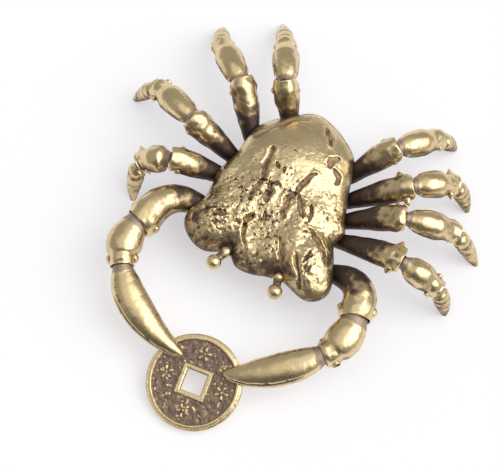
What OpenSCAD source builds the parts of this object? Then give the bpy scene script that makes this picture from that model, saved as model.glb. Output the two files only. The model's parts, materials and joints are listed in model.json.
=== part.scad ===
// Brass crab that holds a round coin in both claws, made of cast pieces and pins.
// Z is up, the crab looks toward -Y, and the floor under its leg tips is Z = 0.

/* [Shell] */
// height of the seam between upper and lower shell
seam_z = 8.2; // [6:0.1:11]
// height of the flat belly above the floor
belly_z = 4.4; // [3:0.1:7]
// height of the rounded edge above the seam
shell_edge_h = 1.0; // [0.4:0.1:2]
// rise of the shell from its edge to its middle
shell_rise = 4.4; // [3:0.1:7]
// extra rise of the smooth rear dome
dome_rise = 1.5; // [0:0.1:3]
// extra rise of the two front lobes
lobe_rise = 2.0; // [0:0.1:3]
// depth of the worm-like grooves
groove_deep = 0.75; // [0:0.05:1.2]
// half width of the grooves
groove_half = 0.6; // [0.3:0.05:1]
// size of the lower shell's outline against the upper one
under_share = 0.95; // [0.85:0.01:1]

/* [Eyes] */
// radius of an eye ball
eye_r = 1.55; // [1:0.05:2.5]
// radius of an eye stalk
stalk_r = 0.95; // [0.6:0.05:1.4]
// length of an eye stalk, to the middle of the ball
stalk_l = 6.8; // [5:0.1:8]

/* [Joints] */
// gap between a ball and the cup around it
ball_gap = 0.15; // [0.1:0.01:0.3]
// gap between a pin and the bore in its ball
pin_run = 0.07; // [0.03:0.01:0.1]
// gap between a fixed piece and its seat
seat_gap = 0.02; // [0.01:0.01:0.1]
// room that the shells leave around a limb's root
root_room = 0.15; // [0.05:0.01:0.3]
// outer radius of a knee cup
knee_r = 2.6; // [2:0.05:3]
// outer radius of an ankle cup
ankle_r = 2.2; // [1.6:0.05:2.5]
// outer radius of an elbow cup
elbow_r = 3.4; // [2.8:0.1:4]
// outer radius of a wrist cup
wrist_r = 2.7; // [2.2:0.1:3.4]

/* [Limbs] */
// radius of the tenon that holds a limb in the lower shell
tenon_r = 1.35; // [1:0.05:1.6]
// length of that tenon
tenon_l = 2.6; // [1.5:0.1:4]
// height of the limb roots
root_z = 6.1; // [5:0.1:8]
// height of the knee pins
knee_z = 12.4; // [9:0.1:16]
// height of the ankle pins
ankle_z = 8.4; // [6:0.1:11]

/* [Coin] */
// coin diameter
coin_d = 19.2; // [15:0.1:25]
// coin thickness over the rim
coin_t = 1.7; // [1:0.1:2.5]
// width of the raised rim
coin_rim = 1.1; // [0.6:0.1:2]
// depth of the field below the rim
coin_sunk = 0.3; // [0.1:0.05:0.5]
// side of the square hole
hole_side = 4.3; // [3:0.1:6]
// side of the raised square frame
frame_side = 6.3; // [4.5:0.1:8]
// distance of the coin's near edge in front of the shell's datum
coin_near = 16; // [15:0.1:17]
// how far the coin's front edge tips down
coin_tilt = 16; // [0:1:30]
// turn of the square hole
coin_turn = 5; // [0:1:45]

/* [Hidden] */
// middle of the footprint, moved to the origin
centre = [-1.31, 9.61];
// sides of a limb's cross section
sides = 14;
// each joint kind: cup radius, lip beyond the pin, ball radius, neck radius, pin radius, head radius
knee = [knee_r, 1.7, knee_r - 0.65, 1.5, 0.4, 0.7];
ankle = [ankle_r, 1.4, ankle_r - 0.6, 1.2, 0.35, 0.6];
elbow = [elbow_r, 2.0, elbow_r - 0.8, 2.1, 0.6, 0.95];
wrist = [wrist_r, 1.6, wrist_r - 0.7, 1.6, 0.5, 0.95];
// middle and radii of the shell's outline, one radius every 12 degrees from +X
shell_mid = [-1.5, 14];
shell_radii = [14.5, 13.5, 13.5, 14, 15.5, 17.9, 19.1, 20.2, 21, 19.7, 18.5, 17.5, 15.5, 14, 14,
               14.4, 14.3, 15.4, 19.2, 19.5, 18.2, 14.7, 16, 16, 15.7, 16.8, 21.3, 21.3, 17, 14];
// each groove of the shell: its points in plan
grooves = [
    [[-7.5, 22.5], [-7, 18.5], [-6, 15.5], [-6.5, 10.5]],
    [[-4.5, 15.5], [-3.5, 12]],
    [[3, 21], [1, 16], [0.5, 12.5], [1.5, 10]],
    [[2, 15.5], [4.5, 12]],
    [[5, 15], [6, 12]],
    [[-0.5, 32], [2.5, 28.5]],
    [[5, 27], [4, 24.5], [6.5, 23.5]],
    [[7, 10.5], [12, 7]],
    [[2.5, 6], [5, 2.5], [8.5, 0.5]],
    [[-4.5, 8], [-5, 5.5], [-3.5, 2.5]],
    [[-11, 25.5], [-9, 28], [-7, 30.5]]];
// each leg: root, knee and ankle in plan, tip in plan, knee head, ankle head
right_legs = [
    [[-14.8, 15.2], [-23, 11.9], [-30.2, 10.2], [-30.3, 4.5], "round", "spike"],
    [[-14.8, 19.8], [-23.3, 20.5], [-34.8, 25.4], [-40.8, 24.6], "round", "flat"],
    [[-13.1, 24.4], [-19, 31.8], [-28.2, 40.1], [-32.1, 47.6], "round", "round"],
    [[-8.2, 31.6], [-11.3, 35.6], [-16.7, 46], [-21.3, 54], "round", "round"]];
left_legs = [
    [[12.2, 13.4], [24.4, 13], [33.3, 12.8], [37.2, 11.5], "spike", "flat"],
    [[11.2, 17.6], [21, 20.9], [31.4, 24.9], [38.2, 24], "round", "round"],
    [[10, 22], [19.4, 27.2], [26.8, 34], [31.5, 33.8], "spike", "spike"],
    [[7.6, 26.7], [13.4, 33], [19.9, 41.4], [23.2, 45.2], "round", "round"]];
// each arm: points of upper arm, wrist and claw
right_arm = [[-14.8, 7.2], [-23, 6.8], [-23.9, -1.1], [-26.5, -6.5], [-24, -10.9],
             [-18.5, -20.5], [-4.6, -22.2]];
left_arm = [[14.3, 6.5], [21.8, 7], [22.4, 0.8], [24, -4.5], [21.5, -9.2],
            [14.5, -18.5], [4.6, -21.8]];
elbow_z = 9.4;
wrist_z = 8.6;
claw_end_z = 4.9;
coin_r = coin_d / 2;
coin_ahead = coin_near + coin_r;
coin_z = coin_r * sin(coin_tilt) + coin_t / 2 * cos(coin_tilt);
brass = [0.72, 0.6, 0.36];
dark_brass = [0.45, 0.36, 0.26];
coin_brass = [0.5, 0.4, 0.32];

function unit(v) = v / norm(v);
function mix(a, b, t) = a + (b - a) * t;
function in_3d(p, z) = [p[0], p[1], z];
function level(v) = unit([v[0], v[1], 0]);
function aside(v) = [level(v)[1], -level(v)[0], 0];

// points and directions on a curve of three points, straight on past its end
function on_curve(p, t) = t > 1 ? p[2] + curve_dir(p, 1) * (t - 1) * norm(p[2] - p[0])
    : p[0] * (1 - t) * (1 - t) + p[1] * 2 * t * (1 - t) + p[2] * t * t;
function curve_dir(p, t) = unit((p[1] - p[0]) * (1 - min(t, 1)) + (p[2] - p[1]) * min(t, 1));

// Catmull-Rom value at angle a of a list that runs once around
function around(list, a) = let (n = len(list), x = a / 360 * n, i = floor(x), f = x - i,
    p = [for (k = [-1:2]) list[(i + k + n) % n]])
    p[1] + f / 2 * (p[2] - p[0] + f * (2 * p[0] - 5 * p[1] + 4 * p[2] - p[3]
    + f * (3 * (p[1] - p[2]) + p[3] - p[0])));

// distance in plan from a point to a path
function off_piece(q, a, b) = let (t = max(0, min(1, (q - a) * (b - a) / ((b - a) * (b - a)))))
    norm(q - mix(a, b, t));
function off_path(q, path) = min([for (k = [0:len(path) - 2]) off_piece(q, path[k], path[k + 1])]);
function bell(d, w) = exp(-d * d / (w * w));

// height of the shell's skin above its edge, for a point in plan at share f of the outline
function shell_top(q, f) = let (round_off = sqrt(max(0, 1 - pow(f, 2.6))),
    near = min([for (g = grooves) off_path(q, g)]))
    (shell_rise + dome_rise * bell(norm(q - [-3.5, 24]), 8)
    + lobe_rise * (bell(norm(q - [-12.5, 3.5]), 4.2) + bell(norm(q - [11.5, 3]), 4.6))
    - 0.9 * bell(norm(q - [-2, 6]), 4)) * round_off
    - groove_deep * bell(near, groove_half) * min(1, 2.5 * (1 - f));

// closed skin through rings of equal count. its ends are flat polygons, or with hubs fans of triangles
// round the ring's middle, as an end whose outline bends inward needs
module skin(rings, hubs = false) {
    n = len(rings[0]);
    m = len(rings);
    last = (m - 1) * n;
    around = [0:n - 1];
    polyhedron(
        concat([for (ring = rings) each ring], hubs ? [middle(rings[0]), middle(rings[m - 1])] : []),
        concat(
            hubs ? [for (i = around) [(i + 1) % n, i, m * n]] : [[for (i = [n - 1:-1:0]) i]],
            [for (k = [0:m - 2], i = around) each [
                [k * n + i, (k + 1) * n + (i + 1) % n, (k + 1) * n + i],
                [k * n + i, k * n + (i + 1) % n, (k + 1) * n + (i + 1) % n]]],
            hubs ? [for (i = around) [last + i, last + (i + 1) % n, m * n + 1]]
                : [[for (i = around) last + i]]));
}

function middle(ring) = [for (p = ring) 1] * ring / len(ring);

// ring of a limb around a curve: profile row is [share of the curve, half width, half height]
function limb_ring(p, row) = let (d = curve_dir(p, row[0]), s = aside(d), u = cross(s, d))
    [for (i = [0:sides - 1]) on_curve(p, row[0])
        + s * row[1] * cos(i * 360 / sides) + u * row[2] * sin(i * 360 / sides)];

module limb_skin(p, profile) {
    skin([for (row = profile) limb_ring(p, row)]);
}

// turns a child's Z axis to direction v at point p, rolled about it
module facing(p, v, roll = 11) {
    translate(p) rotate([0, acos(v[2] / norm(v)), atan2(v[1], v[0])]) rotate([0, 0, roll]) children();
}

// what a joint takes out of the piece that carries its cup
module cup_cut(p, next, kind) {
    side = aside(next);
    facing(p, next) sphere(kind[2] + ball_gap, $fn = 48);
    facing(p, next) cylinder(kind[1] + 6, kind[2] + ball_gap - 0.1, kind[2] + ball_gap + 0.3, $fn = 48);
    facing(p + next * kind[1], next) translate([-9, -9, 0]) cube([18, 18, 12]);
    facing(p - side * 9, side) cylinder(18, kind[4] + seat_gap, kind[4] + seat_gap, $fn = 32);
    for (k = [-1, 1])
        facing(p + side * k * (kind[0] - 0.15), side * k) cylinder(3, kind[5] + 0.1, kind[5] + 0.1, $fn = 32);
}

// ball and neck at the start of a piece, and the bore for its pin
module ball_end(p, next, kind) {
    facing(p, next) {
        sphere(kind[2], $fn = 48);
        cylinder(kind[2] + 1.4, kind[3], kind[3], $fn = 40);
    }
}

module pin_bore(p, next, kind) {
    facing(p - aside(next) * 9, aside(next)) cylinder(18, kind[4] + pin_run, kind[4] + pin_run, $fn = 32);
}

// pin with a formed head at each end: round, spike or flat
module pin(p, next, kind, head) {
    side = aside(next);
    reach = kind[0] - 0.15;
    facing(p - side * (reach + 0.2), side) cylinder(2 * reach + 0.4, kind[4], kind[4], $fn = 32);
    for (k = [-1, 1]) facing(p + side * k * reach, side * k) {
        if (head == "spike") cylinder(1.7, kind[5], 0.12, $fn = 32);
        if (head == "flat") cylinder(0.7, kind[5], kind[5] * 0.8, $fn = 32);
        if (head == "round") intersection() {
            sphere(kind[5], $fn = 32);
            translate([-2, -2, 0]) cube([4, 4, 2]);
        }
    }
}

// curves of a leg's three pieces
function leg_root(d) = in_3d(d[0], root_z);
function leg_knee(d) = in_3d(d[1], knee_z);
function leg_ankle(d) = in_3d(d[2], ankle_z);
function thigh_curve(d) = [leg_root(d), in_3d(mix(d[0], d[1], 0.5), knee_z - 2.4), leg_knee(d)];
function shin_curve(d) = [leg_knee(d), in_3d(mix(d[1], d[2], 0.5), knee_z - 0.5), leg_ankle(d)];
function tip_curve(d) = let (out = level(in_3d(mix(d[2] - d[1], d[3] - d[2], 0.5), 0)))
    [leg_ankle(d), leg_ankle(d) + out * 2.6 + [0, 0, -1.4], in_3d(d[3], -0.4)];
function start_dir(curve) = unit(curve[1] - curve[0]);
function root_out(d) = level(in_3d(d[1] - d[0], 0));

// share of a curve that lies a distance in from its start, or past its end
function in_from(curve, mm) = mm / (2 * norm(curve[1] - curve[0]));
function past_end(curve, mm) = 1 + mm / norm(curve[2] - curve[0]);

// rows that close a piece around its cup
function cup_rows(curve, kind) = [
    [0.93, kind[0] * 1.02, kind[0] * 0.98],
    [past_end(curve, 0.3), kind[0] * 1.03, kind[0]],
    [past_end(curve, kind[1]), kind[0] * 0.96, kind[0] * 0.93],
    [past_end(curve, kind[1] + 1.2), kind[0] * 0.75, kind[0] * 0.7]];

module thigh(d) {
    curve = thigh_curve(d);
    color(brass) difference() {
        union() {
            limb_skin(curve, concat([[0, 1.7, 1.7], [0.2, 2.05, 2.0], [0.45, 2.4, 2.3], [0.72, 2.6, 2.45]],
                cup_rows(curve, knee)));
            facing(leg_root(d) + root_out(d) * 0.6, -root_out(d))
                cylinder(tenon_l + 0.6, tenon_r, tenon_r, $fn = 40);
        }
        cup_cut(leg_knee(d), start_dir(shin_curve(d)), knee);
    }
}

module shin(d) {
    curve = shin_curve(d);
    color(brass) difference() {
        union() {
            limb_skin(curve, concat([[in_from(curve, 2.5), 1.65, 1.6], [in_from(curve, 3.2), 2.2, 2.05],
                [0.5, 2.7, 2.5], [0.72, 2.65, 2.45]], cup_rows(curve, ankle)));
            ball_end(leg_knee(d), start_dir(curve), knee);
        }
        pin_bore(leg_knee(d), start_dir(curve), knee);
        cup_cut(leg_ankle(d), start_dir(tip_curve(d)), ankle);
    }
}

module tip(d) {
    curve = tip_curve(d);
    color(brass) difference() {
        union() {
            limb_skin(curve, [[in_from(curve, 2.2), 1.3, 1.3], [in_from(curve, 2.8), 1.65, 1.6],
                [0.55, 1.6, 1.5], [0.75, 1.25, 1.2], [0.9, 0.8, 0.8], [1, 0.45, 0.45]]);
            ball_end(leg_ankle(d), start_dir(curve), ankle);
        }
        pin_bore(leg_ankle(d), start_dir(curve), ankle);
        translate([d[3][0] - 4, d[3][1] - 4, -4]) cube([8, 8, 4]);
    }
}

module knee_pin(d) {
    color(brass) pin(leg_knee(d), start_dir(shin_curve(d)), knee, d[4]);
}

module ankle_pin(d) {
    color(brass) pin(leg_ankle(d), start_dir(tip_curve(d)), ankle, d[5]);
}

// curves of an arm's three pieces
function upper_curve(a) = [in_3d(a[0], root_z + 0.3), in_3d(a[1], elbow_z + 1), in_3d(a[2], elbow_z)];
function wrist_curve(a) = [in_3d(a[2], elbow_z), in_3d(a[3], elbow_z), in_3d(a[4], wrist_z)];
function claw_curve(a) = [in_3d(a[4], wrist_z), in_3d(a[5], wrist_z - 0.8), in_3d(a[6], claw_end_z)];

module upper_arm(a) {
    curve = upper_curve(a);
    out = level(curve[1] - curve[0]);
    color(brass) difference() {
        union() {
            limb_skin(curve, concat([[0, 1.9, 1.7], [0.2, 2.5, 2.2], [0.45, 2.9, 2.7], [0.72, 3.2, 3.1]],
                cup_rows(curve, elbow)));
            facing(curve[0] + out * 0.6, -out) cylinder(tenon_l + 0.6, tenon_r, tenon_r, $fn = 40);
        }
        cup_cut(curve[2], start_dir(wrist_curve(a)), elbow);
    }
}

module wrist_piece(a) {
    curve = wrist_curve(a);
    color(brass) difference() {
        union() {
            limb_skin(curve, concat([[in_from(curve, 2.9), 2.3, 2.2], [in_from(curve, 3.9), 3.1, 2.8],
                [0.62, 3.6, 3.05], [0.8, 3.3, 2.9]], cup_rows(curve, wrist)));
            ball_end(curve[0], start_dir(curve), elbow);
        }
        pin_bore(curve[0], start_dir(curve), elbow);
        cup_cut(curve[2], start_dir(claw_curve(a)), wrist);
    }
}

module claw(a) {
    curve = claw_curve(a);
    mid = on_curve(curve, 0.45);
    color(brass) difference() {
        union() {
            limb_skin(curve, [[in_from(curve, 2.4), 1.8, 1.8], [in_from(curve, 3.3), 2.5, 2.2],
                [0.28, 3.2, 2.35], [0.45, 3.4, 2.35], [0.62, 3.1, 2.1], [0.78, 2.45, 1.8],
                [0.9, 1.7, 1.5], [1, 0.75, 1.0]]);
            ball_end(curve[0], start_dir(curve), wrist);
        }
        pin_bore(curve[0], start_dir(curve), wrist);
        in_coin_frame() cylinder(coin_t + 0.1, coin_r + 0.06, coin_r + 0.06, center = true, $fn = 96);
        facing(mid, unit(curve[2] - mid), 0) translate([-0.2, -6, 0]) cube([0.4, 12, 14]);
    }
}

module elbow_pin(a) {
    color(brass) pin(in_3d(a[2], elbow_z), start_dir(wrist_curve(a)), elbow, "round");
}

module wrist_pin(a) {
    color(brass) pin(in_3d(a[4], wrist_z), start_dir(claw_curve(a)), wrist, "round");
}

// point of the shell in plan at angle a and share f of the outline
function shell_at(a, f) = shell_mid + around(shell_radii, a) * f * [cos(a), sin(a)];

// limb sockets and eye bores that the two shells have in common
module shell_cuts() {
    for (d = concat(right_legs, left_legs)) seat(thigh_curve(d), [0, 0.5], [1.8, 3]);
    for (a = [right_arm, left_arm]) seat(upper_curve(a), [0, 0.25, 0.5], [2, 2.8, 3.3]);
    for (k = [-1, 1]) facing(eye_seat(k), eye_dir(k))
        cylinder(3 * stalk_l, stalk_r + seat_gap, stalk_r + seat_gap, $fn = 32);
}

// bore for a limb's tenon, and room for its root: a ball at each bend and a cone on from it
module seat(curve, bends, radii) {
    out = level(curve[1] - curve[0]);
    facing(curve[0] - out * (tenon_l + 0.1), out)
        cylinder(tenon_l + 0.1, tenon_r + seat_gap, tenon_r + seat_gap, $fn = 40);
    for (k = [0:len(bends) - 2]) {
        from = on_curve(curve, bends[k]);
        onward = on_curve(curve, bends[k + 1]) - from;
        facing(from, onward) sphere(radii[k] + root_room, $fn = 40);
        facing(from, onward)
            cylinder(norm(onward), radii[k] + root_room - 0.05, radii[k + 1] + root_room, $fn = 40);
    }
}

module carapace() {
    turns = 60;
    shares = [0.97, 1, 1, 0.985, 0.955, 0.91, 0.86, 0.8, 0.74, 0.68, 0.62, 0.56, 0.5, 0.44, 0.38,
              0.32, 0.26, 0.2, 0.14, 0.08, 0.03];
    color(brass) difference() {
        skin([for (k = [0:len(shares) - 1]) [for (i = [0:turns - 1]) let (a = -i * 360 / turns + 360,
            q = shell_at(a, shares[k]))
            in_3d(q, k == 0 ? seam_z : k == 1 ? seam_z + 0.5
                : seam_z + shell_edge_h + shell_top(q, shares[k]))]], hubs = true);
        shell_cuts();
    }
}

module underbody() {
    turns = 60;
    rows = [[0.66, belly_z], [0.78, belly_z + 0.3], [0.9, belly_z + 1.2], [0.96, belly_z + 2.4],
            [1, seam_z - 0.5], [0.99, seam_z]];
    color(dark_brass) difference() {
        skin([for (row = rows) [for (i = [0:turns - 1])
            in_3d(shell_at(360 - i * 360 / turns, row[0] * under_share), row[1])]], hubs = true);
        apron_grooves();
        shell_cuts();
    }
}

// outline and cross grooves of the tail flap folded under the belly
module apron_grooves() {
    flap = [[-5, 9], [5, 9], [4.6, 4], [2.6, -2], [1, -6], [-1, -6], [-2.6, -2], [-4.6, 4]];
    translate([shell_mid[0], shell_mid[1], belly_z - 1]) {
        linear_extrude(1.3) difference() {
            scale(1.09) polygon(flap);
            polygon(flap);
        }
        linear_extrude(1.25) intersection() {
            polygon(flap);
            for (k = [0:4]) translate([-8, 6.4 - k * 2.5]) square([16, 0.4]);
        }
    }
}

function eye_seat(k) = [k * 5.2 - 0.3, 2.6, seam_z + 0.5];
function eye_dir(k) = unit([k * 1.6, -6.4, 1.9]);

module eye(k) {
    color(brass) {
        facing(eye_seat(k) + eye_dir(k) * 0.1, eye_dir(k))
            cylinder(stalk_l - 0.2, stalk_r, stalk_r, $fn = 40);
        translate(eye_seat(k) + eye_dir(k) * stalk_l) sphere(eye_r, $fn = 48);
    }
}

module in_coin_frame() {
    translate([0, -coin_ahead, coin_z]) rotate([coin_tilt, 0, 0]) rotate([0, 0, coin_turn]) children();
}

module coin() {
    color(coin_brass) in_coin_frame() difference() {
        union() {
            cylinder(coin_t - 2 * coin_sunk, coin_r, coin_r, center = true, $fn = 96);
            difference() {
                cylinder(coin_t, coin_r, coin_r, center = true, $fn = 96);
                cylinder(coin_t + 1, coin_r - coin_rim, coin_r - coin_rim, center = true, $fn = 96);
            }
            cube([frame_side, frame_side, coin_t], center = true);
            for (k = [0:3]) rotate([0, 0, k * 90]) translate([5.9, 0, 0]) petal();
        }
        cube([hole_side, hole_side, coin_t + 1], center = true);
    }
}

// plain curled petal between the hole's frame and the rim
module petal() {
    cylinder(coin_t - 0.1, 0.65, 0.65, center = true, $fn = 24);
    difference() {
        cylinder(coin_t - 0.1, 1.75, 1.75, center = true, $fn = 32);
        cylinder(coin_t + 1, 1.2, 1.2, center = true, $fn = 32);
        translate([-3, -0.4, -2]) cube([3, 0.8, 4]);
    }
}

module placed() {
    translate([-centre[0], -centre[1], 0]) children();
}

placed() carapace();
placed() underbody();
placed() eye(-1);  // right_eye
placed() eye(1);  // left_eye
placed() thigh(right_legs[0]);  // right_leg_1_thigh
placed() shin(right_legs[0]);  // right_leg_1_shin
placed() tip(right_legs[0]);  // right_leg_1_tip
placed() knee_pin(right_legs[0]);  // right_leg_1_knee_pin
placed() ankle_pin(right_legs[0]);  // right_leg_1_ankle_pin
placed() thigh(right_legs[1]);  // right_leg_2_thigh
placed() shin(right_legs[1]);  // right_leg_2_shin
placed() tip(right_legs[1]);  // right_leg_2_tip
placed() knee_pin(right_legs[1]);  // right_leg_2_knee_pin
placed() ankle_pin(right_legs[1]);  // right_leg_2_ankle_pin
placed() thigh(right_legs[2]);  // right_leg_3_thigh
placed() shin(right_legs[2]);  // right_leg_3_shin
placed() tip(right_legs[2]);  // right_leg_3_tip
placed() knee_pin(right_legs[2]);  // right_leg_3_knee_pin
placed() ankle_pin(right_legs[2]);  // right_leg_3_ankle_pin
placed() thigh(right_legs[3]);  // right_leg_4_thigh
placed() shin(right_legs[3]);  // right_leg_4_shin
placed() tip(right_legs[3]);  // right_leg_4_tip
placed() knee_pin(right_legs[3]);  // right_leg_4_knee_pin
placed() ankle_pin(right_legs[3]);  // right_leg_4_ankle_pin
placed() thigh(left_legs[0]);  // left_leg_1_thigh
placed() shin(left_legs[0]);  // left_leg_1_shin
placed() tip(left_legs[0]);  // left_leg_1_tip
placed() knee_pin(left_legs[0]);  // left_leg_1_knee_pin
placed() ankle_pin(left_legs[0]);  // left_leg_1_ankle_pin
placed() thigh(left_legs[1]);  // left_leg_2_thigh
placed() shin(left_legs[1]);  // left_leg_2_shin
placed() tip(left_legs[1]);  // left_leg_2_tip
placed() knee_pin(left_legs[1]);  // left_leg_2_knee_pin
placed() ankle_pin(left_legs[1]);  // left_leg_2_ankle_pin
placed() thigh(left_legs[2]);  // left_leg_3_thigh
placed() shin(left_legs[2]);  // left_leg_3_shin
placed() tip(left_legs[2]);  // left_leg_3_tip
placed() knee_pin(left_legs[2]);  // left_leg_3_knee_pin
placed() ankle_pin(left_legs[2]);  // left_leg_3_ankle_pin
placed() thigh(left_legs[3]);  // left_leg_4_thigh
placed() shin(left_legs[3]);  // left_leg_4_shin
placed() tip(left_legs[3]);  // left_leg_4_tip
placed() knee_pin(left_legs[3]);  // left_leg_4_knee_pin
placed() ankle_pin(left_legs[3]);  // left_leg_4_ankle_pin
placed() upper_arm(right_arm);  // right_upper_arm
placed() wrist_piece(right_arm);  // right_wrist
placed() claw(right_arm);  // right_claw
placed() elbow_pin(right_arm);  // right_elbow_pin
placed() wrist_pin(right_arm);  // right_wrist_pin
placed() upper_arm(left_arm);  // left_upper_arm
placed() wrist_piece(left_arm);  // left_wrist
placed() claw(left_arm);  // left_claw
placed() elbow_pin(left_arm);  // left_elbow_pin
placed() wrist_pin(left_arm);  // left_wrist_pin
placed() coin();
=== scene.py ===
"""Looks of a cast brass crab that holds a coin, built around its CAD frame.

Shapes are worked out in millimetres from the shell's datum and moved into the frame at the end.
"""

import json
import math
from collections import namedtuple

import bpy
import numpy as np
from mathutils import Matrix

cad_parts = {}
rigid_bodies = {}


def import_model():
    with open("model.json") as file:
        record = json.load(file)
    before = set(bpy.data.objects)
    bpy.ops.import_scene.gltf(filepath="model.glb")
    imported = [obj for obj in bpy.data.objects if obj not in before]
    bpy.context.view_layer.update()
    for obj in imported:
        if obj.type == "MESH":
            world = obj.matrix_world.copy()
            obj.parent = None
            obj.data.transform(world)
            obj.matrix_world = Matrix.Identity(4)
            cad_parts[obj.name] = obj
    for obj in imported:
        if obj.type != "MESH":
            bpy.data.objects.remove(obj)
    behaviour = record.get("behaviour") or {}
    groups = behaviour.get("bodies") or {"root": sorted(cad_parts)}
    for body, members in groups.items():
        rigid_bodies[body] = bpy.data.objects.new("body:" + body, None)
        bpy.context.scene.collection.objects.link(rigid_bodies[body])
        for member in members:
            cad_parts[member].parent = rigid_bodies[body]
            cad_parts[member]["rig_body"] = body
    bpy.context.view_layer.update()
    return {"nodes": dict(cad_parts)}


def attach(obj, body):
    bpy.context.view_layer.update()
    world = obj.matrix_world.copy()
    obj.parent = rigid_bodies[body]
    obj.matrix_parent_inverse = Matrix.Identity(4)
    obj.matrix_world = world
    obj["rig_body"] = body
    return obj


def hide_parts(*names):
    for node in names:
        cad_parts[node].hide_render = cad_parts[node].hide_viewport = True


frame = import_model()

# place of the shell's datum and shell sizes, as in the CAD
CENTRE = np.array([-1.31, 9.61, 0.0])
SEAM_Z = 8.2
BELLY_Z = 4.4
EDGE_H = 1.0
SHELL_MID = np.array([-1.5, 14.0])
SHELL_RADII = [14.5, 13.5, 13.5, 14, 15.5, 17.9, 19.1, 20.2, 21, 19.7, 18.5, 17.5, 15.5, 14, 14,
               14.4, 14.3, 15.4, 19.2, 19.5, 18.2, 14.7, 16, 16, 15.7, 16.8, 21.3, 21.3, 17, 14]
ROOT_Z = 6.1
KNEE_Z = 12.4
ANKLE_Z = 8.4
ELBOW_Z = 9.4
WRIST_Z = 8.6
CLAW_END_Z = 4.9

# radii of a joint's cup, ball, neck, pin and pin head; lip is how far the cup reaches beyond the pin
Kind = namedtuple("Kind", "cup lip ball neck pin head")
KNEE = Kind(2.6, 1.7, 1.95, 1.4, 0.4, 0.7)
ANKLE = Kind(2.2, 1.4, 1.6, 1.0, 0.35, 0.6)
ELBOW = Kind(3.4, 2.0, 2.6, 2.62, 0.6, 0.95)
WRIST = Kind(2.7, 1.6, 2.0, 2.02, 0.5, 0.95)

# each leg: root, knee, ankle and tip in plan, knee head, ankle head
LEGS = {
    "right_leg_1": ((-14.8, 15.2), (-23, 11.9), (-30.2, 10.2), (-30.3, 4.5), "round", "spike"),
    "right_leg_2": ((-14.8, 19.8), (-23.3, 20.5), (-34.8, 25.4), (-40.8, 24.6), "round", "flat"),
    "right_leg_3": ((-13.1, 24.4), (-19, 31.8), (-28.2, 40.1), (-32.1, 47.6), "round", "round"),
    "right_leg_4": ((-8.2, 31.6), (-11.3, 35.6), (-16.7, 46), (-21.3, 54), "round", "round"),
    "left_leg_1": ((12.2, 13.4), (24.4, 13), (33.3, 12.8), (37.2, 11.5), "spike", "flat"),
    "left_leg_2": ((11.2, 17.6), (21, 20.9), (31.4, 24.9), (38.2, 24), "round", "round"),
    "left_leg_3": ((10, 22), (19.4, 27.2), (26.8, 34), (31.5, 33.8), "spike", "spike"),
    "left_leg_4": ((7.6, 26.7), (13.4, 33), (19.9, 41.4), (23.2, 45.2), "round", "round"),
}
ARMS = {
    "right": ((-14.8, 7.2), (-23, 6.8), (-23.9, -1.1), (-26.5, -6.5), (-24, -10.9), (-18.5, -20.5),
              (-4.6, -22.2)),
    "left": ((14.3, 6.5), (21.8, 7), (22.4, 0.8), (24, -4.5), (21.5, -9.2), (14.5, -18.5),
             (4.6, -21.8)),
}
# how strongly the ends of some thighs are folded
CRUMPLED = {"left_leg_2": 3.2, "left_leg_1": 2.4, "right_leg_2": 2.0}
BALL_GAP = 0.15
LIP_PLAY = 0.1
AROUND = 64
STEP = 0.2
# depth and size of the hand-finished unevenness
HAMMER_MARKS = ((0.09, 2.6), (0.05, 1.2), (0.025, 0.55))


def point(plan, z):
    return np.array([plan[0], plan[1], z], float)


def unit(v):
    return v / np.linalg.norm(v)


def level(v):
    return unit(np.array([v[0], v[1], 0.0]))


def aside(v):
    flat = level(v)
    return np.array([flat[1], -flat[0], 0.0])


def ease(x, low, high):
    """0 below low, 1 above high, smooth between."""
    t = np.clip((x - low) / (high - low), 0, 1)
    return t * t * (3 - 2 * t)


def bell(d, width):
    return np.exp(-((d / width) ** 2))


def ring_angles(count):
    return np.arange(count) * 2 * math.pi / count


def with_height(q, z=0.0):
    """Points in plan as points in space."""
    return np.column_stack([q, np.full(len(q), z)])


def away(q, x, y):
    """Distance in plan from a place."""
    return np.linalg.norm(q - np.array([x, y]), axis=1)


def noise(points, size, seed):
    """Smooth seeded value noise of about -1 to 1, with cells of that size in millimetres."""
    table = np.random.RandomState(seed).uniform(-1, 1, (32, 32, 32))
    q = np.asarray(points, float) / size + 100.5
    i = np.floor(q).astype(int)
    f = q - i
    f = f * f * (3 - 2 * f)
    total = np.zeros(len(q))
    for corner in range(8):
        bits = np.array([corner & 1, corner >> 1 & 1, corner >> 2 & 1])
        weight = np.prod(np.where(bits == 1, f, 1 - f), axis=1)
        j = (i + bits) % 32
        total += weight * table[j[:, 0], j[:, 1], j[:, 2]]
    return total


def through(x, xs, ys):
    """Smooth values at x through the points xs, ys, without overshoot."""
    xs, ys = np.array(xs, float), np.array(ys, float)
    slope = np.diff(ys) / np.diff(xs)
    m = np.concatenate([[slope[0]], (slope[1:] + slope[:-1]) / 2, [slope[-1]]])
    same = np.concatenate([[True], slope[1:] * slope[:-1] > 0, [True]])
    m = np.where(same, m, 0)
    limit = 3 * np.minimum(np.abs(np.concatenate([[slope[0]], slope])),
                           np.abs(np.concatenate([slope, [slope[-1]]])))
    m = np.clip(m, -limit, limit)
    k = np.clip(np.searchsorted(xs, x) - 1, 0, len(xs) - 2)
    h = xs[k + 1] - xs[k]
    t = np.clip((x - xs[k]) / h, 0, 1)
    return (ys[k] * (2 * t**3 - 3 * t**2 + 1) + h * m[k] * (t**3 - 2 * t**2 + t)
            + ys[k + 1] * (3 * t**2 - 2 * t**3) + h * m[k + 1] * (t**3 - t**2))


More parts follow.
